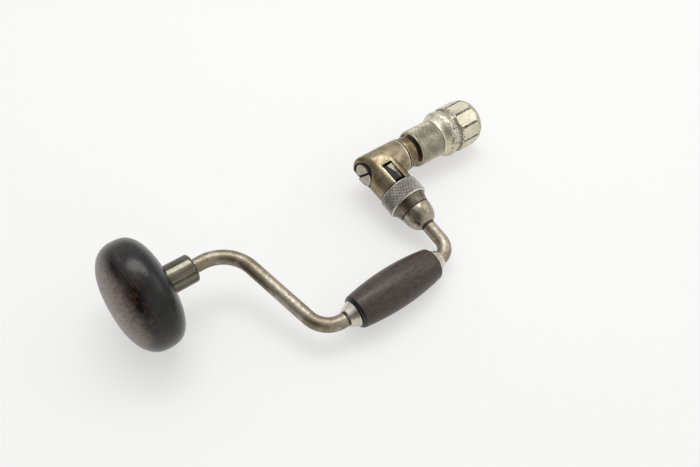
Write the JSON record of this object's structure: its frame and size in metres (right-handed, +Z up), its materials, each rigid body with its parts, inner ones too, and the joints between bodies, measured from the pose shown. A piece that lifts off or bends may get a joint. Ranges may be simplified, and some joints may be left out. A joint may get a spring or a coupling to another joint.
{
  "type": "bit brace",
  "caption": "Hand-cranked bit brace with a turning wooden head and sweep handle, a reversible ratchet with a shifter ring, and a two-jaw chuck that a screwed shell closes.",
  "frame": {"origin": "centre of the bounding box's bottom face, with the brace lying on a table on its head, its handle and its nose", "axes": "+X along the brace from the head to the chuck, +Y from the sweep handle to the main axis, +Z up from the table"},
  "size_m": [0.3346, 0.1478, 0.0827],
  "materials": {
    "bar_steel": "worn steel with a brown patina",
    "patina_steel": "worn steel with a golden brown patina",
    "dark_steel": "dark worn steel",
    "grey_steel": "grey steel, knurled where it is gripped",
    "bright_steel": "bright steel",
    "pale_plate": "pale worn plating with dark pits",
    "head_wood": "dark stained and waxed hardwood",
    "handle_wood": "dark grey brown worn hardwood"
  },
  "bodies": {
    "frame": {"crank_frame": "bar_steel", "handle_ferrule_rear": "bright_steel", "handle_ferrule_front": "bright_steel", "arm_bell": "dark_steel", "bell_pin": "grey_steel", "ratchet_box": "patina_steel", "arm_pin": "grey_steel", "pawl_spring_upper": "grey_steel", "pawl_spring_lower": "grey_steel", "thrust_cone": "grey_steel"},
    "head": {"wood_head": "head_wood", "head_quill": "dark_steel", "thrust_cup": "grey_steel", "thrust_balls": "bright_steel"},
    "handle": {"sweep_handle": "handle_wood"},
    "shifter": {"shifter_ring": "grey_steel"},
    "pawl_upper": {"pawl_upper": "dark_steel"},
    "pawl_lower": {"pawl_lower": "dark_steel"},
    "spindle": {"spindle": "patina_steel", "ratchet_wheel": "dark_steel", "wheel_key": "grey_steel", "end_screw": "grey_steel", "spindle_washer": "bright_steel", "jaw_springs": "grey_steel"},
    "thrust": {"jaw_ring": "grey_steel", "chuck_balls": "bright_steel"},
    "shell": {"chuck_sleeve": "grey_steel", "chuck_nose": "pale_plate"},
    "jaw_a": {"jaw_a": "grey_steel"},
    "jaw_b": {"jaw_b": "grey_steel"}
  },
  "joints": [
    {"name": "head_spin", "type": "hinge", "parent": "frame", "child": "head", "pos_m": [-0.12956, 0.03251, 0.04034], "axis": [0.9975, 0, -0.0704], "continuous": true},
    {"name": "handle_spin", "type": "hinge", "parent": "frame", "child": "handle", "pos_m": [0.00666, -0.05806, 0.01631], "axis": [0.9975, 0, -0.0704], "continuous": true},
    {"name": "spindle_spin", "type": "hinge", "parent": "frame", "child": "spindle", "pos_m": [0.06424, 0.03251, 0.02666], "axis": [0.9975, 0, -0.0704], "continuous": true},
    {"name": "shifter_turn", "type": "hinge", "parent": "frame", "child": "shifter", "pos_m": [0.06388, 0.00036, 0.02157], "axis": [-0.011, -0.9876, -0.1563], "range_deg": [-30, 30]},
    {"name": "pawl_upper_slide", "type": "slide", "parent": "frame", "child": "pawl_upper", "axis": [-0.011, -0.9876, -0.1563], "range_m": [-0.00151, 0.00151], "deforming": ["pawl_spring_upper"]},
    {"name": "pawl_lower_slide", "type": "slide", "parent": "frame", "child": "pawl_lower", "axis": [-0.011, -0.9876, -0.1563], "range_m": [-0.00151, 0.00151], "deforming": ["pawl_spring_lower"]},
    {"name": "chuck_turn", "type": "hinge", "parent": "thrust", "child": "shell", "pos_m": [0.16499, 0.03251, 0.01954], "axis": [0.9975, 0, -0.0704], "range_deg": [-180, 720]},
    {"name": "chuck_travel", "type": "slide", "parent": "spindle", "child": "thrust", "axis": [0.9975, 0, -0.0704], "range_m": [-0.001, 0.004]},
    {"name": "jaw_a_tilt", "type": "hinge", "parent": "spindle", "child": "jaw_a", "pos_m": [0.12554, 0.03147, 0.02886], "axis": [-0.011, -0.9876, -0.1563], "range_deg": [-0.41, 1.64], "deforming": ["jaw_springs"]},
    {"name": "jaw_b_tilt", "type": "hinge", "parent": "spindle", "child": "jaw_b", "pos_m": [0.12463, 0.03354, 0.01586], "axis": [0.011, 0.9876, 0.1563], "range_deg": [-0.41, 1.64]}
  ],
  "couplings": [
    {"joint": "pawl_upper_slide", "follows": "shifter_turn", "m_per_rad": 0.0028648},
    {"joint": "pawl_lower_slide", "follows": "shifter_turn", "m_per_rad": -0.0028648},
    {"joint": "chuck_travel", "follows": "chuck_turn", "m_per_rad": 0.00031831},
    {"joint": "jaw_a_tilt", "follows": "chuck_turn", "ratio": 0.0022736},
    {"joint": "jaw_b_tilt", "follows": "chuck_turn", "ratio": 0.0022736}
  ]
}
